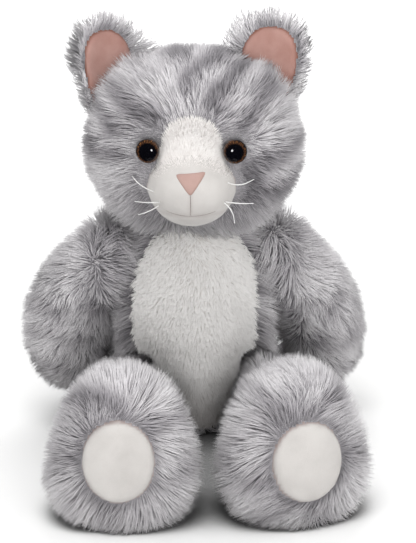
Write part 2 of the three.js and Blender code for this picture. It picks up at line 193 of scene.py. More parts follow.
class Paint:
    """A procedural material. Keyword values are plain values on the shader's own sockets."""

    def __init__(self, name, **plain):
        self.material = bpy.data.materials.new(name)
        self.material.use_nodes = True
        self.tree = self.material.node_tree
        self.shader = self.tree.nodes["Principled BSDF"]
        for socket, value in plain.items():
            self.shader.inputs[socket.replace("_", " ")].default_value = value

    def node(self, kind, *inputs, **values):
        """A node with its first inputs linked (or set) in order, and the named ones set."""
        made = self.tree.nodes.new(kind)
        for name, value in values.items():
            if name in made.inputs:
                self.feed(made.inputs[name], value)
            else:
                setattr(made, name, value)
        for socket, value in zip(made.inputs, inputs):
            self.feed(socket, value)
        return made

    def feed(self, socket, value):
        """Links the socket to another one, or sets it to a plain value."""
        if isinstance(value, bpy.types.NodeSocket):
            self.tree.links.new(value, socket)
        else:
            socket.default_value = value

    def attribute(self, name):
        return self.node("ShaderNodeAttribute", attribute_name=name).outputs["Fac"]

    def math(self, operation, a, b=0.0, c=0.0, clamp=False):
        made = self.node("ShaderNodeMath", a, b, c, operation=operation, use_clamp=clamp)
        return made.outputs[0]

    def place(self):
        """The surface point in the row frame, in mm."""
        point = self.node("ShaderNodeTexCoord").outputs["Object"]
        return self.node("ShaderNodeVectorMath", point, (MM, MM, MM), operation="DIVIDE").outputs["Vector"]

    def ramp(self, factor, stops):
        """A colour for each factor, from stops of (factor, colour)."""
        made = self.node("ShaderNodeValToRGB", factor)
        points = made.color_ramp.elements
        points[0].position, points[1].position = stops[0][0], stops[-1][0]
        points[0].color, points[1].color = (*stops[0][1], 1), (*stops[-1][1], 1)
        for where, colour in stops[1:-1]:
            points.new(where).color = (*colour, 1)
        return made.outputs["Color"]

    def mix(self, factor, a, b, blend="MIX"):
        made = self.node("ShaderNodeMix", data_type="RGBA", blend_type=blend)
        self.feed(made.inputs["Factor"], factor)
        for name, value in (("A", a), ("B", b)):
            socket = [s for s in made.inputs if s.name == name and s.type == "RGBA"][0]
            self.feed(socket, value if isinstance(value, bpy.types.NodeSocket) else (*value, 1))
        return [s for s in made.outputs if s.type == "RGBA"][0]

    def colour(self, socket):
        self.tree.links.new(socket, self.shader.inputs["Base Color"])

    def colours(self, factor, stops):
        self.colour(self.ramp(factor, stops))

    def bump(self, height, distance, strength=1.0):
        made = self.node("ShaderNodeBump", Strength=strength, Distance=distance, Height=height)
        self.tree.links.new(made.outputs["Normal"], self.shader.inputs["Normal"])


def pile_paint(name, root, tip, stripe, stops, **plain):
    """Strands `root` bright at the foot, `tip` brighter at the tip, and `stripe` darker where the tone is
    high: in a stripe, and in the painted shade that some tones carry.
    """
    paint = Paint(name, **plain)
    bright = paint.math("MULTIPLY_ADD", paint.attribute("along"), tip, root)
    paint.colours(paint.math("MULTIPLY_ADD", paint.attribute("tone_and_shade"), -stripe, bright), stops)
    return paint.material


def grey_fur():
    """Frosted tabby pile: dark at the root, pale at the tip, and darker all along in a stripe and where its
    tone carries painted shade.
    """
    stops = [
        (0.0, (0.085, 0.080, 0.088)),
        (0.25, (0.200, 0.190, 0.203)),
        (0.50, (0.430, 0.412, 0.430)),
        (0.75, (0.700, 0.682, 0.695)),
        (1.0, (0.860, 0.845, 0.850)),
    ]
    look = {"Roughness": 0.62, "Specular_IOR_Level": 0.22, "Sheen_Weight": 0.18}
    return pile_paint("grey pile strands", 0.56, 0.42, 0.62, stops, **look)


def white_fur():
    """Short off-white pile, a little pinker and darker at the root and where its tone carries painted
    shade.
    """
    stops = [
        (0.0, (0.40, 0.34, 0.32)),
        (0.4, (0.66, 0.625, 0.605)),
        (0.75, (0.84, 0.825, 0.805)),
        (1.0, (0.90, 0.885, 0.865)),
    ]
    look = {"Roughness": 0.66, "Specular_IOR_Level": 0.2, "Sheen_Weight": 0.2}
    return pile_paint("white pile strands", 0.6, 0.4, 0.7, stops, **look)


def backing(name, dark, light):
    """The knitted base that shows between the strands: fine loops, darker in between."""
    paint = Paint(name, Roughness=0.92, Specular_IOR_Level=0.1)
    loops = paint.node("ShaderNodeTexVoronoi", paint.place(), Scale=1.1)
    cloud = paint.node("ShaderNodeTexNoise", paint.place(), Scale=0.08, Detail=4.0)
    height = paint.math("MULTIPLY_ADD", loops.outputs["Distance"], 0.5, cloud.outputs["Fac"])
    paint.colours(height, [(0.35, dark), (1.0, light)])
    paint.bump(loops.outputs["Distance"], 0.4 * MM)
    return paint.material


def velour(name, low, high, fold, roughness=0.88):
    """Smooth cloth: a soft mottle, a fine nap, a faint sheen, and painted shade of the fourth colour at its
    seams and hollows, as far as the mesh's shade attribute reaches.
    """
    paint = Paint(name, Roughness=roughness, Specular_IOR_Level=0.25, Sheen_Weight=0.25)
    cloud = paint.node("ShaderNodeTexNoise", paint.place(), Scale=0.06, Detail=3.0)
    nap = paint.node("ShaderNodeTexNoise", paint.place(), Scale=2.2, Detail=2.0)
    mottle = paint.math("MULTIPLY_ADD", nap.outputs["Fac"], 0.35, cloud.outputs["Fac"])
    cloth = paint.ramp(mottle, [(0.4, low), (0.85, high)])
    paint.colour(paint.mix(paint.attribute("fold"), cloth, fold))
    height = paint.math("MULTIPLY_ADD", cloud.outputs["Fac"], 1.5, nap.outputs["Fac"])
    paint.bump(height, 0.22 * MM, 0.8)
    return paint.material


def thread(name, dark, light):
    """Twisted thread: fine slanting strands."""
    paint = Paint(name, Roughness=0.7, Specular_IOR_Level=0.3)
    twist = paint.node("ShaderNodeTexWave", paint.place(), Scale=1.3, Distortion=0.6)
    twist.bands_direction = "DIAGONAL"
    paint.colours(twist.outputs["Fac"], [(0.1, dark), (0.8, light)])
    paint.bump(twist.outputs["Fac"], 0.2 * MM)
    return paint.material


def plastic(name, low, high, roughness):
    """Moulded plastic with a faint flow mark and a fine pitted skin."""
    paint = Paint(name, Roughness=roughness, Specular_IOR_Level=0.5)
    flow = paint.node("ShaderNodeTexNoise", paint.place(), Scale=0.3, Detail=2.0)
    pits = paint.node("ShaderNodeTexNoise", paint.place(), Scale=5.0)
    paint.colours(flow.outputs["Fac"], [(0.35, low), (0.65, high)])
    paint.bump(pits.outputs["Fac"], 0.03 * MM)
    return paint.material


def painted_eye():
    """A black pupil inside a flecked amber ring with a dark rim, under a clear gloss."""
    paint = Paint("eye", Roughness=0.5, Specular_IOR_Level=0.0, Coat_Weight=1.0, Coat_Roughness=0.02)
    out, turn = paint.attribute("iris_radius"), paint.attribute("iris_turn")
    ray = paint.node("ShaderNodeCombineXYZ", paint.math("MULTIPLY", turn, 9.0), out)
    fleck = paint.node("ShaderNodeTexNoise", ray.outputs[0], Scale=2.4, Detail=4.0)
    stops = [
        (0.42, (0.012, 0.008, 0.008)),
        (0.54, (0.050, 0.022, 0.012)),
        (0.64, (0.240, 0.105, 0.034)),
        (0.78, (0.460, 0.240, 0.095)),
    ]
    amber = paint.ramp(fleck.outputs["Fac"], stops)
    ring = [(0.70, (0, 0, 0)), (0.84, (1, 1, 1)), (0.95, (1, 1, 1)), (1.0, (0.1,) * 3)]
    paint.colour(paint.mix(paint.ramp(out, ring), (0.002, 0.002, 0.003), amber))
    return paint.material


GREY_FUR = grey_fur()
WHITE_FUR = white_fur()
GREY_BACK = backing("grey pile backing", (0.17, 0.162, 0.172), (0.32, 0.31, 0.322))
WHITE_BACK = backing("white pile backing", (0.60, 0.56, 0.53), (0.80, 0.77, 0.74))
# The fourth colour of each velour is painted shade, for its seams and hollows
VELOUR = velour("off-white velour", (0.42, 0.400, 0.385), (0.485, 0.466, 0.448), (0.26, 0.21, 0.20))
EAR_PINK = velour("pink ear velour", (0.29, 0.150, 0.123), (0.375, 0.222, 0.192), (0.20, 0.080, 0.055))
NOSE_PINK = velour("pink nose cloth", (0.32, 0.205, 0.178), (0.38, 0.255, 0.225), (0.24, 0.12, 0.095), 0.7)
EYE = painted_eye()
SEAM_THREAD = thread("seam thread", (0.20, 0.17, 0.16), (0.42, 0.38, 0.36))
WHISKER = thread("whisker", (0.86, 0.86, 0.84), (0.95, 0.95, 0.94))
WASHER = plastic("washer plastic", (0.70, 0.69, 0.66), (0.78, 0.77, 0.74), 0.45)
BAG_CLOTH = backing("pellet bag cloth", (0.45, 0.42, 0.36), (0.62, 0.58, 0.50))


# ---- Surfaces ----


def joined(nodes):
    """One bmesh of the CAD nodes given."""
    bm = bmesh.new()
    for name in nodes:
        bm.from_mesh(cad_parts[name].data)
    return bm


def applied(thing):
    """The mesh of an object with its modifiers or its bevel applied. The object is removed."""
    bpy.context.scene.collection.objects.link(thing)
    mesh = bpy.data.meshes.new_from_object(thing.evaluated_get(bpy.context.evaluated_depsgraph_get()))
    bpy.data.objects.remove(thing)
    return mesh


def distance_to(node, points):
    """Each point's distance to a CAD node."""
    bm = joined([node])
    tree = BVHTree.FromBMesh(bm)
    bm.free()
    return np.array([tree.find_nearest(Vector(p))[3] for p in points])


class Surface:
    """One closed surface of four-sided faces around CAD nodes, remeshed and smoothed."""

    def __init__(self, nodes, voxel, passes):
        bm = joined(nodes)
        mesh = bpy.data.meshes.new("joined")
        bm.to_mesh(mesh)
        bm.free()
        thing = bpy.data.objects.new("joined", mesh)
        remesh = thing.modifiers.new("remesh", "REMESH")
        remesh.mode = "VOXEL"
        remesh.voxel_size = voxel
        found = applied(thing)
        flat = np.zeros(3 * len(found.vertices), np.float32)
        found.vertices.foreach_get("co", flat)
        self.points = flat.reshape(-1, 3).astype(float)
        self.faces = np.array([p.vertices[:] for p in found.polygons if len(p.vertices) == 4])
        bpy.data.meshes.remove(mesh)
        bpy.data.meshes.remove(found)
        pairs = np.concatenate([self.faces[:, [k, (k + 1) % 4]] for k in range(4)])
        self.edges = np.unique(np.sort(pairs, axis=1), axis=0)
        self.smooth(passes)

    def averaged(self, values):
        """Each point's mean over its neighbours."""
        a, b = self.edges.T
        count = len(self.points)
        degree = np.bincount(a, minlength=count) + np.bincount(b, minlength=count)
        columns = values.reshape(count, -1).T
        total = [np.bincount(a, c[b], count) + np.bincount(b, c[a], count) for c in columns]
        return (np.array(total) / np.maximum(degree, 1)).T.reshape(values.shape)

    def smooth(self, passes, where=None):
        """Moves each point half way to its neighbours, or less where `where` is below 1."""
        weight = 0.5 if where is None else 0.5 * where[:, None]
        for _ in range(passes):
            self.points = self.points + weight * (self.averaged(self.points) - self.points)

    def spread(self, values, passes=3):
        """The values of the points, blurred along the surface."""
        for _ in range(passes):
            values = 0.5 * values + 0.5 * self.averaged(values)
        return values

    def normals(self):
        """Each point's normal, from the faces around it."""
        a, b, c, d = (self.points[self.faces[:, k]] for k in range(4))
        across = np.cross(c - a, d - b)
        total = np.zeros_like(self.points)
        for k in range(4):
            for axis in range(3):
                total[:, axis] += np.bincount(self.faces[:, k], across[:, axis], len(total))
        return unit(total)

    def push(self, depth):
        """Moves the surface inwards, by a depth of its own at each point."""
        self.points = self.points - self.normals() * np.reshape(depth, (-1, 1))

    def scatter(self, per_mm2, rng):
        """Random spots all over: a face each, and the weights of its four corners."""
        a, b, c, d = (self.points[self.faces[:, k]] for k in range(4))
        first = np.linalg.norm(np.cross(b - a, c - a), axis=1)
        area = (first + np.linalg.norm(np.cross(c - a, d - a), axis=1)) / 2
        count = int(area.sum() / MM**2 * per_mm2)
        face = rng.choice(len(area), count, p=area / area.sum())
        u, v = rng.random((2, count))
        return face, np.stack([(1 - u) * (1 - v), u * (1 - v), u * v, (1 - u) * v], axis=1)

    def inside(self, outer, inner, passes=3):
        """How far each point is inside the inner node's panel: below 0 in the node around it."""
        depth = distance_to(outer, self.points) - distance_to(inner, self.points)
        return self.spread(depth, passes)

    def at(self, spots, values):
        """The values of the points, at spots between them."""
        face, weights = spots
        corners = values[self.faces[face]]
        return np.einsum("nk,nk...->n...", weights, corners)


def new_object(name, mesh, material, body):
    thing = bpy.data.objects.new(name, mesh)
    bpy.context.scene.collection.objects.link(thing)
    mesh.materials.append(material)
    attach(thing, body)
    return thing


def set_values(mesh, name, values):
    """Gives each point of a mesh a value that its material can read."""
    mesh.attributes.new(name, "FLOAT", "POINT").data.foreach_set("value", values.astype(np.float32))


def panel(name, surface, mask, material, body, slot, **values):
    """The faces of a surface chosen by mask, or all of them, as a piece of their own."""
    faces = surface.faces if mask is None else surface.faces[mask]
    used, index = np.unique(faces, return_inverse=True)
    mesh = bpy.data.meshes.new(name)
    mesh.from_pydata(surface.points[used].tolist(), [], index.reshape(-1, 4).tolist())
    mesh.shade_smooth()
    for key, value in values.items():
        set_values(mesh, key, value[used])
    return new_object(name, mesh, material, body)


# ---- Pile ----

RING = np.arange(3) * 2 * math.pi / 3  # where the three edges of a strand stand
MIDDLE = 0.55  # how far up a strand bends
ROOTED = 0.3 * MM  # how far a strand reaches into the skin
LENGTHS = (0.80, 1.12)  # the length and the width of the strands vary between these shares
WIDTHS = (0.75, 1.25)
NARROWED = 0.72  # the share of its width that a strand has left at its bend
LAID = 0.35  # a comb of at least this strength lays the pile down fully
UNDERNEATH = 5 * MM  # below this height no pile grows on what faces down
LIES_OUT = 22 * MM  # below this height the pile lies outwards, over the floor
STRANDS_IN_PIECE = 19000

# A strand's faces, by its seven points: three at the root, three at the bend and the tip
WALLS = [(k, (k + 1) % 3, 3 + (k + 1) % 3, 3 + k) for k in range(3)]
ENDS = [(3 + k, 3 + (k + 1) % 3, 6) for k in range(3)]
STRAND = WALLS + ENDS + [(2, 1, 0)]
POINTS_IN_STRAND = 7


def combed(style, spots, root, normal):
    """Which way and how far each strand leans along the skin."""
    way = style["comb"](root)
    way[:, 2] = np.where(way[:, 2] < 0, way[:, 2] * ramp(root[:, 2], 0, LIES_OUT), way[:, 2])
    way = way - normal * (way * normal).sum(1, keepdims=True)
    lean = way / np.maximum(np.linalg.norm(way, axis=1, keepdims=True), LAID) * style["lean"]
    return lean * style["press"](spots)[:, None]


def follow_leaders(root, tip, spacing, share, per_mm2, rng):
    """Draws each tip towards the tip of the nearest leading strand, so that the pile forms tufts."""
    count = max(2, int(len(root) / per_mm2 / (spacing / MM) ** 2))
    leaders = rng.choice(len(root), min(count, len(root)), replace=False)
    tree = KDTree(len(leaders))
    for i, k in enumerate(leaders):
        tree.insert(root[k], i)
    tree.balance()
    nearest = leaders[[tree.find(p)[1] for p in root]]
    meeting = tip[nearest] + 0.3 * (root - root[nearest])
    return tip + share * (meeting - tip)


def grow(name, body, surface, choose, style, seed):
    """Pile on the part of a surface where choose(spots), the share of its full length, isn't 0."""
    rng = np.random.default_rng(seed)
    spots = surface.scatter(style["per_mm2"], rng)
    scale = choose(spots)
    root = surface.at(spots, surface.points)
    normal = unit(surface.at(spots, surface.normals()))
    hidden = (root[:, 2] < UNDERNEATH) & (normal[:, 2] < -0.5)
    kept = (scale > 0.02) & ~hidden
    spots, root, normal = (spots[0][kept], spots[1][kept]), root[kept], normal[kept]
    scale, count = scale[kept, None], kept.sum()
    lean = combed(style, spots, root, normal)
    length = style["length"] * scale * rng.uniform(*LENGTHS, (count, 1))
    scatter = rng.normal(size=(count, 3)) * style["scatter"]
    tip = root + length * unit(normal + lean + scatter)
    for spacing, share in style["tufts"]:
        tip = follow_leaders(root, tip, spacing, share, style["per_mm2"], rng)
    middle = root + MIDDLE * length * unit(normal + 0.45 * lean + 0.5 * scatter)
    middle += 0.30 * (tip - root - (middle - root) / MIDDLE)
    tone_and_shade = np.clip(style["tone_and_shade"](root) + rng.normal(size=count) * style["fleck"], 0, 1)
    bundles = side_by_side(root)
    for number, chosen in enumerate(bundles, start=1):
        piece = name if len(bundles) == 1 else f"{name}_{number}"
        line = [part[chosen] for part in (root, middle, tip)]
        shape = strand_points(line, normal[chosen], style["width"] * np.sqrt(scale[chosen]), rng)
        mesh = strand_mesh(piece, *shape, tone_and_shade[chosen])
        new_object(piece, mesh, style["material"], body)


def side_by_side(root):
    """Bundles of at most STRANDS_IN_PIECE strands, one after another around the upright."""
    centre = root.mean(0)
    order = np.argsort(np.arctan2(root[:, 0] - centre[0], centre[1] - root[:, 1]))
    return np.array_split(order, math.ceil(len(root) / STRANDS_IN_PIECE))


def strand_points(line, normal, width, rng):
    """The points of strands that bend once and taper to a tip, and normals that are near the skin's own,
    which light the pile softly."""
    root, middle, tip = line
    count = len(root)
    rise = unit(middle - root)
    side = unit(np.cross(rise, rng.normal(size=(count, 3))))
    other = np.cross(rise, side)
    around = side[:, None] * np.cos(RING)[:, None] + other[:, None] * np.sin(RING)[:, None]
    radius = (width / 2 * rng.uniform(*WIDTHS, (count, 1)))[:, None]
    low = root[:, None] + around * radius - normal[:, None] * ROOTED
    high = middle[:, None] + around * radius * NARROWED
    points = np.concatenate([low, high, tip[:, None]], axis=1).reshape(-1, 3)
    points[:, 2] = np.maximum(points[:, 2], FLOOR_GAP)
    soft = unit(normal[:, None] * 0.8 + around * 0.35)
    shading = np.concatenate([soft, soft, unit(normal * 0.8 + rise * 0.3)[:, None]], axis=1)
    return points, shading.reshape(-1, 3)


def strand_mesh(name, points, shading, tone_and_shade):
    """One mesh of many strands, made from arrays because there are so many."""
    count = len(tone_and_shade)
    corners = np.array([corner for face in STRAND for corner in face])
    starts = np.cumsum([0] + [len(face) for face in STRAND[:-1]])
    loops = (np.arange(count)[:, None] * POINTS_IN_STRAND + corners).ravel()
    first = (np.arange(count)[:, None] * len(corners) + starts).ravel()
    mesh = bpy.data.meshes.new(name)
    mesh.vertices.add(len(points))
    mesh.vertices.foreach_set("co", points.ravel().astype(np.float32))
    mesh.loops.add(len(loops))
    mesh.loops.foreach_set("vertex_index", loops.astype(np.int32))
    mesh.polygons.add(len(first))
    mesh.polygons.foreach_set("loop_start", first.astype(np.int32))
    mesh.polygons.foreach_set("use_smooth", np.ones(len(first), bool))
    mesh.update(calc_edges=True)
    mesh.normals_split_custom_set_from_vertices(shading)
    set_values(mesh, "along", np.tile([0, 0, 0, MIDDLE, MIDDLE, MIDDLE, 1], count))
    set_values(mesh, "tone_and_shade", np.repeat(tone_and_shade, POINTS_IN_STRAND))
    cell_map(mesh, count, corners)
    return mesh


def cell_map(mesh, count, corners):
    """A flat map with one small square for each strand, root at its foot and tip at its head."""
    rows = math.ceil(math.sqrt(count))
    foot = np.stack([np.arange(count) % rows, np.arange(count) // rows], axis=1)
    across = np.array([0.25, 0.5, 0.75, 0.3, 0.5, 0.7, 0.5])
    up = np.array([0.12, 0.12, 0.12, 0.5, 0.5, 0.5, 0.88])
    inside = np.stack([across, up], axis=1)[corners]
    place = (foot[:, None] + inside[None]) / rows
    flat = mesh.uv_layers.new(name="OFBake")
    flat.data.foreach_set("uv", place.ravel().astype(np.float32))


# ---- The cat's coat: which way it lies and how dark it is ----
# x, y and z are in mm from here on, and so are the places that they are compared with.


def swirl(points, size, seed):
    """Directions that wander smoothly from place to place."""
    return np.stack([patches(points, size, seed + k) for k in range(3)], axis=1) * 2 - 1


def away_from(centre, fall, wander=0.45):
    """A comb that runs away from a point and falls by `fall`."""

    def comb(points):
        out = unit(points - np.array(centre))
        return out + np.array([0, 0, -fall]) + wander * swirl(points, 50 * MM, 3)

    return comb


def along_way(direction, wander=0.45):
    """A comb that runs in one direction."""

    def comb(points):
        return np.array(direction) + wander * swirl(points, 45 * MM, 11)

    return comb


# Tabby bars on the forehead, in the head's own frame seen from the front: points [x, z] in mm and width
HEAD_BARS = [
    ([(-34, 262), (-22, 266), (-4, 262)], 4.5),
    ([(26, 268), (6, 254), (-2, 247)], 5),
    ([(34, 258), (20, 246), (11, 236)], 5),
    ([(52, 254), (43, 240), (33, 226)], 6),
    ([(-42, 240), (-31, 234), (-20, 228)], 5.5),
    ([(-62, 243), (-54, 232), (-46, 222)], 6),
    ([(66, 214), (54, 206), (44, 203)], 6),
    ([(-67, 212), (-56, 206), (-46, 206)], 6),
    ([(62, 190), (52, 184), (42, 184)], 6),
    ([(35, 200), (38, 180)], 7),
]

# Dark bands across each part: the place of the middle and the half width, in mm, and the darkness
ARM_BANDS = [(128, 10, 0.3), (98, 8, 0.42), (68, 7, 0.45), (40, 7, 0.4), (16, 8, 0.5)]
LEG_BANDS = [(72, 7, 0.42), (40, 6, 0.26), (16, 7, 0.12)]
TORSO_BANDS = [(136, 8, 0.3), (108, 8, 0.4), (80, 8, 0.4), (52, 8, 0.4), (24, 8, 0.5)]
TAIL_BANDS = [(18, 7, 0.6), (42, 7, 0.6), (66, 7, 0.6)]


def bar_shade(x, z, bars):
    """How dark each spot is, from the nearest bar."""
    shade = np.zeros(len(x))
    for points, width in bars:
        for (x0, z0), (x1, z1) in zip(points, points[1:]):
            run = np.array([x1 - x0, z1 - z0])
            t = np.clip(((x - x0) * run[0] + (z - z0) * run[1]) / (run @ run), 0, 1)
            gap = np.hypot(x - x0 - t * run[0], z - z0 - t * run[1])
            shade = np.maximum(shade, np.exp(-((gap / width) ** 2)))
    return shade


def band_shade(points, bands, axis=2):
    """How dark each spot is, from the nearest band across an axis. The bands wander a little."""
    shade = np.zeros(len(points))
    wander = (patches(points, 50 * MM, 31) - 0.5) * 16
    for place, width, dark in bands:
        gap = points[:, axis] / MM + wander - place
        shade = np.maximum(shade, dark * np.exp(-((gap / width) ** 2)))
    return shade


def head_tone_and_shade(points):
    """Bars on the face, blotches behind, darker on the crown, and painted shade under the chin."""
    x, y, z = in_head_frame(points).T
    front = fade(y, -10, 12)
    bars = bar_shade(x, z, HEAD_BARS) * front
    blotches = ramp(patches(points, 30 * MM, 21, (2.6, 1, 1)), 0.55, 0.8) * (1 - front)
    cloud = patches(points, 28 * MM, 5)
    # Painted shade under the chin
    chin = fade(z, 168, 196)
    crown = ramp(z, 244, 262) * front
    return 0.16 + 0.62 * bars + 0.45 * blotches + 0.26 * cloud + 0.20 * chin + 0.18 * crown


def arm_tone(points):
    inner = fade(abs(in_mm(points)[0]), 58, 78)
    bars = band_shade(points, ARM_BANDS) * (0.55 + 0.45 * inner)
    return 0.04 + bars + 0.12 * inner + 0.30 * patches(points, 26 * MM, 41)


def leg_tone(points):
    """Bars and blotches that fade out on top of the thigh."""
    top = ramp(in_mm(points)[2], 78, 90)
    marks = band_shade(points, LEG_BANDS) + 0.34 * patches(points, 26 * MM, 51)
    return 0.08 + 0.14 * top + marks * (1 - 0.85 * top)


def torso_tone(points):
    return 0.14 + band_shade(points, TORSO_BANDS) + 0.26 * patches(points, 30 * MM, 61)


def tail_tone(points):
    return 0.22 + band_shade(points, TAIL_BANDS, axis=0) + 0.2 * patches(points, 30 * MM, 71)


def ear_tone(points):
    return 0.14 + 0.4 * patches(points, 26 * MM, 81)


def tummy_tone_and_shade(points):
    """Painted shade: darker low down, between the thighs."""
    return 0.55 * fade(in_mm(points)[2], 10, 60) + 0.10 * patches(points, 20 * MM, 91)


def blaze_tone(points):
    return 0.38 + 0.1 * patches(points, 20 * MM, 95)


def everywhere(spots):
    return np.ones(len(spots[0]))


# How a pile grows: strands on each mm2, their length and width, how far they lean, how far they scatter,
# where they are pressed flatter, its tufts (their spacing and how tight they are) and its flecks
LONG_PILE = {
    "material": GREY_FUR,
    "slot": "grey_pile",
    "per_mm2": 1.0,
    "length": 14 * MM,
    "width": 0.50 * MM,
    "lean": 0.65,
    "scatter": 0.20,
    "press": everywhere,
    "tufts": [(10 * MM, 0.22), (2.4 * MM, 0.36)],
    "fleck": 0.09,
}
FOOT_PILE = LONG_PILE | {"scatter": 0.15, "tufts": [(10 * MM, 0.15), (2.4 * MM, 0.24)], "fleck": 0.06}
EAR_PILE = LONG_PILE | {"lean": 0.5, "per_mm2": 1.3}
SHORT_PILE = {
    "material": WHITE_FUR,
    "slot": "white_pile",
    "per_mm2": 2.6,
    "length": 6.5 * MM,
    "width": 0.55 * MM,
    "lean": 0.75,
    "scatter": 0.14,
    "press": everywhere,
    "tufts": [(8 * MM, 0.15), (2 * MM, 0.15)],
    "fleck": 0.03,
}
BLAZE_PILE = SHORT_PILE | {"length": 5 * MM, "width": 0.42 * MM, "per_mm2": 5, "scatter": 0.10, "tufts": []}


# ---- Torso ----

TUMMY_MIDDLE = -2.5  # where the middle of the tummy panel is, in mm to the cat's left


def make_torso():
    nodes = ["torso_cover", "tummy_panel", "torso_filling", "seat_pellet_bag"]
    surface = Surface(nodes, 2.4 * MM, 8)
    tummy = surface.inside("torso_cover", "tummy_panel")
    surface.push(GREY_DEPTH + (WHITE_DEPTH - GREY_DEPTH) * ramp(tummy, -2 * MM, 2 * MM))
    inside = tummy[surface.faces].mean(1) > 0
    skin = panel("torso_skin", surface, ~inside, GREY_BACK, "torso", "grey_pile")
    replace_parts(skin, "torso_cover", "torso_filling")
    front = panel("tummy_skin", surface, inside, WHITE_BACK, "torso", "white_pile")
    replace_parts(front, "tummy_panel")
    grow_torso(surface, tummy)
    grow_tummy(surface, tummy)


def grow_torso(surface, tummy):
    def longer_in_gaps(spots):
        """Longer at the shoulders, at the sides and over the hips."""
        x, _, z = in_mm(surface.at(spots, surface.points))
        shoulder = ramp(abs(x), 28, 42) * ramp(z, 95, 115)
        side = ramp(abs(x), 34, 40)
        hip = ramp(z, 30, 40) * fade(z, 65, 85)
        longer = 0.35 * np.maximum(shoulder, side) + 0.3 * hip
        return (surface.at(spots, tummy) < 0) * (1 + longer)

    def comb(root):
        """Down, but away from the tummy panel beside it and out over the flanks."""
        x, y, z = in_mm(root)
        way = along_way((0, 0.1, -1))(root)
        beside = fade(abs(x), 50, 72) * fade(y, -12, 0)
        flank = 0.9 * fade(z, 85, 105)
        way[:, 0] += 1.7 * np.sign(x) * np.maximum(beside, flank)
        return way

    style = LONG_PILE | {"comb": comb, "tone_and_shade": torso_tone}
    grow("torso_fur", "torso", surface, longer_in_gaps, style, 100)


def grow_tummy(surface, tummy):
    def uneven_edge(spots):
        """Uneven in length near the panel's edge, so that no hard line shows."""
        root = surface.at(spots, surface.points)
        inner = surface.at(spots, tummy)
        uneven = 0.9 * fade(inner, 0, 8 * MM)
        return (inner > 0) * (1 + uneven * (patches(root, 4 * MM, 93) - 0.45))

    def comb(root):
        """Down, and outwards over the edges of the panel."""
        x = in_mm(root)[0]
        way = along_way((0, 0, -1), 0.3)(root)
        way[:, 0] += 1.1 * np.sign(x) * ramp(abs(x - TUMMY_MIDDLE), 30, 40)
        return way

    style = SHORT_PILE | {"comb": comb, "tone_and_shade": tummy_tone_and_shade}
    grow("tummy_fur", "torso", surface, uneven_edge, style, 101)


def make_pellet_bag():
    """A cloth bag, lumpy with the pellets inside it."""
    surface = Surface(["seat_pellet_bag"], 2.4 * MM, 4)
    surface.push(1.5 * MM + 0.9 * MM * patches(surface.points, 6 * MM, 131))
    bag = panel("pellet_bag", surface, None, BAG_CLOTH, "torso", "pellet_bag")
    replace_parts(bag, "seat_pellet_bag")


# ---- Limbs and tail ----


def make_arm(side, sign):
    body = f"{side}_arm"
    surface = Surface([f"{side}_arm_cover", f"{side}_arm_filling"], 2.4 * MM, 8)
    surface.push(GREY_DEPTH)
    skin = panel(f"{side}_arm_skin", surface, None, GREY_BACK, body, "grey_pile")
    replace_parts(skin, f"{side}_arm_cover", f"{side}_arm_filling")

    def longer_inside(spots):
        x, _, z = in_mm(surface.at(spots, surface.points))
        return 1 + 0.60 * fade(abs(x), 60, 74) * fade(z, 135, 150)

    def comb(root):
        """Down the arm, and over the seam with the torso on its inner side."""
        way = along_way((sign * 0.5, -0.35, -0.6), 0.55)(root)
        way[:, 0] -= sign * 1.3 * fade(abs(in_mm(root)[0]), 60, 78)
        return way

    style = LONG_PILE | {"comb": comb, "tone_and_shade": arm_tone}
    grow(f"{side}_arm_fur", body, surface, longer_inside, style, 200 + sign)


def make_leg(side, sign):
    body = f"{side}_leg"
    cover, sole, filling = f"{side}_leg_cover", f"{side}_sole_pad", f"{side}_leg_filling"
    surface = Surface([cover, sole, filling], 2.2 * MM, 8)
    pad = surface.inside(cover, sole, 4)
    surface.push(np.where(pad > 0, TUCK * fade(pad, 0, TUCK_WIDTH), GREY_DEPTH))
    surface.smooth(2)
    inside = pad[surface.faces].mean(1) > -0.6 * MM
    skin = panel(f"{side}_leg_skin", surface, ~inside, GREY_BACK, body, "grey_pile")
    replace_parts(skin, cover, filling)
    # Painted shade along the pad's seam
    fold = fade(pad, 0, 1.6 * MM)
    face = panel(f"{side}_sole", surface, inside, VELOUR, body, "velour", fold=fold)
    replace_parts(face, sole)
    grow_leg(side, sign, surface, pad)


def grow_leg(side, sign, surface, pad):
    low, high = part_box(f"{side}_sole_pad")
    middle = (low + high) / 2

    def around_pad(spots):
        """Shorter beside the pad and on the thigh, longer low down and between the feet."""
        out = -surface.at(spots, pad)
        x, y, z = in_mm(surface.at(spots, surface.points))
        beside = 0.62 + 0.38 * ramp(out, 0, 12 * MM)
        thigh = ramp(y, -100, -80) * fade(y, -50, -35)
        below = fade(z, 20, 45)
        between = fade(abs(x), 30, 45) * fade(y, -130, -100)
        return (out > 0.4 * MM) * beside * (1 - 0.3 * thigh) * (1 + 0.22 * np.maximum(below, between))

    def pressed_by_pad(spots):
        return 1 + 2.0 * fade(-surface.at(spots, pad), 0, 11 * MM)

    comb = away_from((middle.x, middle.y + 12 * MM, middle.z), 0.1)
    style = FOOT_PILE | {"comb": comb, "tone_and_shade": leg_tone, "press": pressed_by_pad}
    grow(f"{side}_leg_fur", f"{side}_leg", surface, around_pad, style, 300 + sign)


def make_tail():
    surface = Surface(["tail_cover", "tail_filling"], 2.0 * MM, 6)
    surface.push(2.6 * MM)
    skin = panel("tail_skin", surface, None, GREY_BACK, "tail", "grey_pile")
    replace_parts(skin, "tail_cover", "tail_filling")
    style = LONG_PILE | {"comb": along_way((1, -0.1, 0), 0.4), "tone_and_shade": tail_tone}
    grow("tail_fur", "tail", surface, everywhere, style, 400)


# ---- Head ----

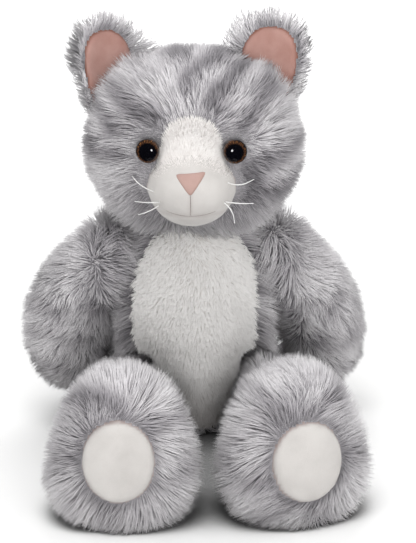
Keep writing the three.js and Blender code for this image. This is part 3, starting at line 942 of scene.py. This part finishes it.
EYE_RADIUS = 8 * MM
EYE_RIM = 9  # just outside the rim of an eye, in mm from its middle
BLAZE_FADE = 11 * MM  # how far the blaze's pile runs on over the muzzle
HEAD_PANELS = ["head_cover", "blaze_panel", "muzzle_cover", "chin_panel"]
HEAD_FILLINGS = ["head_filling", "left_eye_washer", "right_eye_washer"]

# Each of the head's skins, in the order of HEAD_PANELS, and what it replaces
HEAD_SKINS = [
    ("head_skin", GREY_BACK, "grey_pile", ["head_cover", "head_filling"]),
    ("blaze_skin", WHITE_BACK, "white_pile", ["blaze_panel"]),
    ("muzzle_skin", VELOUR, "velour", ["muzzle_cover"]),
    ("chin_skin", VELOUR, "velour", ["chin_panel"]),
]


def eye_centre(side):
    """The middle of the ball that the CAD eye's dome is part of."""
    low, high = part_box(f"{side}_eye")
    return Vector(((low.x + high.x) / 2, low.y + EYE_RADIUS, (low.z + high.z) / 2))


def eye_gap(points):
    """Each point's distance to the middle of the nearest eye."""
    eyes = [np.array(eye_centre(side)) for side in SIDES]
    return np.min([np.linalg.norm(points - eye, axis=1) for eye in eyes], axis=0)


def make_head():
    """The head's skins. Returns their surface and each point's distance to each of HEAD_PANELS."""
    surface = Surface(HEAD_PANELS + HEAD_FILLINGS, 1.8 * MM, 8)
    surface.smooth(90, where=fade(eye_gap(surface.points), 12 * MM, 16 * MM))
    away = np.stack([distance_to(name, surface.points) for name in HEAD_PANELS], axis=1)
    away = surface.spread(away, 3)
    cover, blaze, muzzle, chin = away.T
    pale = np.minimum(muzzle, chin)
    groove = mouth_groove(surface.points, (muzzle - chin) / MM)
    tuck = TUCK * fade(cover - pale, 0, TUCK_WIDTH) + 0.25 * MM * groove
    white_depth = WHITE_DEPTH * ramp(pale, 0, 10 * MM)
    covered = GREY_DEPTH + (white_depth - GREY_DEPTH) * ramp(cover - blaze, -2 * MM, 2 * MM)
    surface.push(np.where(np.minimum(cover, blaze) > pale, tuck, covered))
    surface.smooth(2)
    # Painted shade in the mouth's seams and along the seams of the pale panels
    fold = np.maximum(0.25 * groove, fade(cover - pale, 0, 1.4 * MM))
    nearest = away.argmin(axis=1)[surface.faces]
    region = np.array([np.bincount(corners, minlength=len(HEAD_PANELS)).argmax() for corners in nearest])
    for k, (name, material, slot, nodes) in enumerate(HEAD_SKINS):
        skin = panel(name, surface, region == k, material, "head", slot, fold=fold)
        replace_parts(skin, *nodes)
    return surface, away


def mouth_groove(points, lip):
    """How deep each point is in the mouth's seams: the lip, and the cleft from it up to the nose."""
    x, y, z = in_head_frame(points).T
    in_cleft = (y < -60) & (lip < 0.5) & (z < 190)
    cleft = np.exp(-((x / 1.4) ** 2)) * in_cleft
    return np.maximum(np.exp(-((lip / 1.6) ** 2)), cleft)


def grow_head(surface, away):
    cover, blaze = away[:, 0], away[:, 1]
    muzzle = np.minimum(away[:, 2], away[:, 3])
    pale = cover - np.minimum(blaze, muzzle)

    def clear_of_eyes(root, clear, shortest, full):
        """None nearer than `clear` to the middle of an eye, and short up to `full` from it, in mm."""
        gap = eye_gap(root) / MM
        return (gap > clear) * (shortest + (1 - shortest) * ramp(gap, EYE_RIM, full))

    def grey(spots):
        """Short beside the muzzle, the blaze and the eyes, and longer below the ears and at the chin."""
        root = surface.at(spots, surface.points)
        x, _, z = in_mm(root)
        shown = (surface.at(spots, pale) < 0) & (z > 158)
        beside_muzzle = 0.28 + 0.72 * ramp(surface.at(spots, muzzle), 0, 16 * MM)
        beside_blaze = 0.55 + 0.45 * ramp(surface.at(spots, blaze), 0, 12 * MM)
        ears = ramp(abs(x), 28, 40) * ramp(z, 222, 236)
        chin = fade(z, 165, 180)
        longer = 1 + 0.45 * np.maximum(ears, chin)
        return shown * clear_of_eyes(root, 8.8, 0.22, 24) * beside_muzzle * beside_blaze * longer

    def white(spots):
        """Full on the blaze, and thinning out over the top of the muzzle."""
        root = surface.at(spots, surface.points)
        thinning = fade(surface.at(spots, blaze), 0, BLAZE_FADE)
        upper = 0.55 + 0.45 * ramp(in_mm(root)[2], 200, 216)
        return (surface.at(spots, pale) > 0) * clear_of_eyes(root, 8.6, 0.5, 14) * thinning * upper

    def pressed_by_muzzle(spots):
        return 1 + 3.5 * fade(surface.at(spots, muzzle), 0, 14 * MM)

    def flat_by_muzzle(spots):
        return 1 + 4 * fade(surface.at(spots, muzzle), 0, 10 * MM)

    def comb(root):
        """Away from the face, and down the back of the head."""
        way = away_from(head_point(0, -66, 196), 0.12)(root)
        way[:, 2] -= 1.4 * ramp(in_mm(root)[1], -5, 40)
        return way

    style = LONG_PILE | {"comb": comb, "tone_and_shade": head_tone_and_shade, "press": pressed_by_muzzle}
    grow("head_fur", "head", surface, grey, style, 500)
    up = away_from(head_point(0, -78, 176), 0)
    style = BLAZE_PILE | {"comb": up, "tone_and_shade": blaze_tone, "press": flat_by_muzzle}
    grow("blaze_fur", "head", surface, white, style, 501)


def make_ear(side, sign):
    """A furry back and a pink lining, with painted shade at its seam and low down in the ear."""
    body = f"{side}_ear"
    back, lining = f"{side}_ear_back", f"{side}_ear_lining"
    surface = Surface([back, lining], 1.5 * MM, 6)
    inner = surface.inside(back, lining)
    surface.push(np.where(inner > 0, 0.8 * MM * fade(inner, 0, 2 * MM), 1.4 * MM))
    surface.smooth(3)
    inside = inner[surface.faces].mean(1) > -0.3 * MM
    skin = panel(f"{side}_ear_skin", surface, ~inside, GREY_BACK, body, "grey_pile")
    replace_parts(skin, back)
    low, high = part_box(lining)
    # Painted shade low down in the ear, and along the lining's seam
    painted_shade_low = 0.8 * fade(surface.points[:, 2], low.z, 0.55 * low.z + 0.45 * high.z)
    fold = np.maximum(painted_shade_low, fade(inner, 0, 1.2 * MM))
    face = panel(f"{side}_ear_lining_cloth", surface, inside, EAR_PINK, body, "ear_pink", fold=fold)
    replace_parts(face, lining)
    middle = (low + high) / 2

    def behind(spots):
        """Longer towards the forehead, and shorter low on the outside of the right ear."""
        x, _, z = in_mm(surface.at(spots, surface.points))
        inward = abs(middle.x) / MM - abs(x)
        low_outside = fade(inward, -16, -6) * fade(z, 240, 262) * (sign < 0)
        length = 1 + 0.8 * ramp(inward, 3, 17) - 0.4 * low_outside
        return (surface.at(spots, inner) < -0.2 * MM) * length

    comb = away_from((middle.x, middle.y - 10 * MM, low.z - 10 * MM), -0.2, 0.3)
    style = EAR_PILE | {"comb": comb, "tone_and_shade": ear_tone}
    grow(f"{side}_ear_fur", body, surface, behind, style, 600 + sign)


# ---- Face ----

# Heights in mm in the head's own frame
NOSE_HEIGHT = 194.4
UNDER_NOSE = 186
LIP = 171
NOSE_SIDES = [math.radians(turn) for turn in (90, 210, 330)]  # where its three edges face
NOSE_ROUNDING = 6  # the higher, the sharper its corners
IN_FRONT = -140  # a place ahead of the whole face, in mm


def ringed_mesh(name, rings, closed=False):
    """A smooth mesh over rings of points, the first of them a single point in the middle."""
    bm = bmesh.new()
    loops = [[bm.verts.new(place) for place in ring] for ring in rings]
    for a, b in zip(loops, loops[1:]):
        for k in range(len(b)):
            n = (k + 1) % len(b)
            corners = [a[k % len(a)], b[k], b[n], a[n % len(a)]]
            bm.faces.new(corners[:3] if len(a) == 1 else corners)
    if closed:
        bm.faces.new(loops[-1])
        bmesh.ops.recalc_face_normals(bm, faces=bm.faces)
    mesh = bpy.data.meshes.new(name)
    bm.to_mesh(mesh)
    bm.free()
    mesh.shade_smooth()
    return mesh


def make_eye(side, sign):
    """A flattened dome that looks a little outwards, with its painted pupil set towards the nose."""
    turn = math.radians(18) * sign + HEAD_TURN
    ahead = Vector((math.sin(turn), -math.cos(turn), 0))
    across = Vector((math.cos(turn), math.sin(turn), 0))
    rings, sides = 14, 40
    height, sunk, pupil_shift = 4.6 * MM, 2.6 * MM, 1.5 * MM
    middle = eye_centre(side) + ahead * (EYE_RADIUS - height)
    circles = []
    for i in range(rings + 1):
        angle = math.pi / 2 * i / rings
        circles.append((EYE_RADIUS * math.sin(angle), height * math.cos(angle)))
    circles.append((EYE_RADIUS * 0.97, -sunk))
    places = []
    flat = []
    for out, up in circles:
        angles = [2 * math.pi * k / sides for k in range(sides if out > 0 else 1)]
        spots = [(out * math.cos(angle), out * math.sin(angle)) for angle in angles]
        places.append([middle + across * x + Vector((0, 0, z)) + ahead * up for x, z in spots])
        flat += [((x + sign * pupil_shift) / EYE_RADIUS, z / EYE_RADIUS) for x, z in spots]
    mesh = ringed_mesh(f"{side}_eye_dome", places, closed=True)
    flat = np.array(flat)
    set_values(mesh, "iris_radius", np.linalg.norm(flat, axis=1))
    set_values(mesh, "iris_turn", np.abs(np.arctan2(flat[:, 1], flat[:, 0])))
    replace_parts(new_object(f"{side}_eye_dome", mesh, EYE, "head"), f"{side}_eye")


def tube(name, points, radii, material, body):
    """A round strand with eight sides through points, with its own radius at each."""
    curve = bpy.data.curves.new(name, "CURVE")
    curve.dimensions = "3D"
    curve.resolution_u = 6
    curve.bevel_depth = 1
    curve.bevel_resolution = 2
    curve.use_fill_caps = True
    line = curve.splines.new("BEZIER")
    line.bezier_points.add(len(points) - 1)
    for spot, place, radius in zip(line.bezier_points, points, radii):
        spot.co = place
        spot.radius = radius
        spot.handle_left_type = spot.handle_right_type = "AUTO"
    mesh = applied(bpy.data.objects.new(name, curve))
    mesh.shade_smooth()
    mesh.materials.clear()
    return new_object(name, mesh, material, body)


def face_hit(tree, x, z):
    """The point of the head's surface straight behind a point of the face, and its normal."""
    straight_back = (HEAD_FRAME.to_3x3() @ Vector((0, 1, 0))).normalized()
    place, normal, _, _ = tree.ray_cast(head_point(x, IN_FRONT, z), straight_back)
    return place, normal


def make_nose(tree):
    """A rounded triangle of cloth, padded a little and sewn down at its edge."""
    rings, sides = 9, 48
    half_width, half_height, tilt = 6.3, 5.0, 0.08
    padding, sunk = 1.4 * MM, 0.3 * MM
    # Painted shade towards the sewn-down edge
    fold = []
    places = []
    for i in range(rings + 1):
        share = i / rings
        ring = []
        for k in range(sides if i else 1):
            angle = 2 * math.pi * k / sides
            facing = [max(0, math.cos(angle - side)) ** NOSE_ROUNDING for side in NOSE_SIDES]
            reach = sum(facing) ** (-1 / NOSE_ROUNDING) * share
            x = half_width * reach * math.cos(angle)
            z = NOSE_HEIGHT + half_height * reach * math.sin(angle) + tilt * x
            place, normal = face_hit(tree, x, z)
            lift = padding * math.sqrt(max(0, 1 - share**4)) - sunk
            ring.append(place + normal * lift)
            fold.append(max(0, share - 0.85) * 3)
        places.append(ring)
    mesh = ringed_mesh("nose_cloth", places)
    set_values(mesh, "fold", np.array(fold))
    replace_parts(new_object("nose_cloth", mesh, NOSE_PINK, "head"), "nose")


def make_mouth(tree):
    """The seam that runs down from the nose, and the lip seam that it meets."""
    down = [face_hit(tree, 0, z)[0] for z in np.linspace(UNDER_NOSE, LIP + 0.5, 7)]
    lip = [face_hit(tree, x, LIP + 0.010 * x * x)[0] for x in np.linspace(-16, 16, 13)]
    seam = tube("mouth_seam", down, [0.22 * MM] * len(down), SEAM_THREAD, "head")
    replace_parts(seam, "mouth_stitch")
    tube("lip_seam", lip, [0.16 * MM] * len(lip), SEAM_THREAD, "head")


# Each whisker, in the head's own frame in mm: a point inside the muzzle, a bend and a tip
WHISKERS = {
    "left_upper": [(20, -60, 191), (32.9, -69.4, 191.4), (40.9, -69.7, 195)],
    "left_middle": [(19, -63, 178.5), (32.4, -71.4, 179.3), (40.6, -72.7, 179.7)],
    "left_lower": [(19, -64, 180), (26.6, -72, 174), (28.6, -73.8, 166.6)],
    "right_upper": [(-20, -60, 182), (-32.8, -71.1, 191.3), (-37.8, -73.6, 197.5)],
    "right_middle": [(-18, -66, 178.5), (-28.8, -74.8, 180.3), (-35.9, -77.4, 181.6)],
    "right_lower": [(-19, -64, 176.5), (-29, -72.8, 173.1), (-34, -76.3, 172.5)],
}
WHISKER_RADII = [0.42 * MM, 0.36 * MM, 0.20 * MM]


def make_whiskers():
    for name, points in WHISKERS.items():
        places = [head_point(*point) for point in points]
        strand = tube(f"{name}_whisker_strand", places, WHISKER_RADII, WHISKER, "head")
        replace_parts(strand, f"{name}_whisker")


def finish_inner_parts():
    """The washers and the sewn rings of thread keep their CAD shape, with materials of their own."""
    for name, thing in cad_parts.items():
        if thing.hide_render:
            continue
        thing.data.materials.clear()
        thing.data.materials.append(WASHER if name.endswith("washer") else SEAM_THREAD)


make_camera()
make_studio()
make_floor()
make_torso()
make_pellet_bag()
for side_name, side_sign in SIDES.items():
    make_arm(side_name, side_sign)
    make_leg(side_name, side_sign)
    make_ear(side_name, side_sign)
    make_eye(side_name, side_sign)
make_tail()
head, panel_distances = make_head()
grow_head(head, panel_distances)
head_tree = BVHTree.FromPolygons(head.points.tolist(), head.faces.tolist())
make_nose(head_tree)
make_mouth(head_tree)
make_whiskers()
finish_inner_parts()
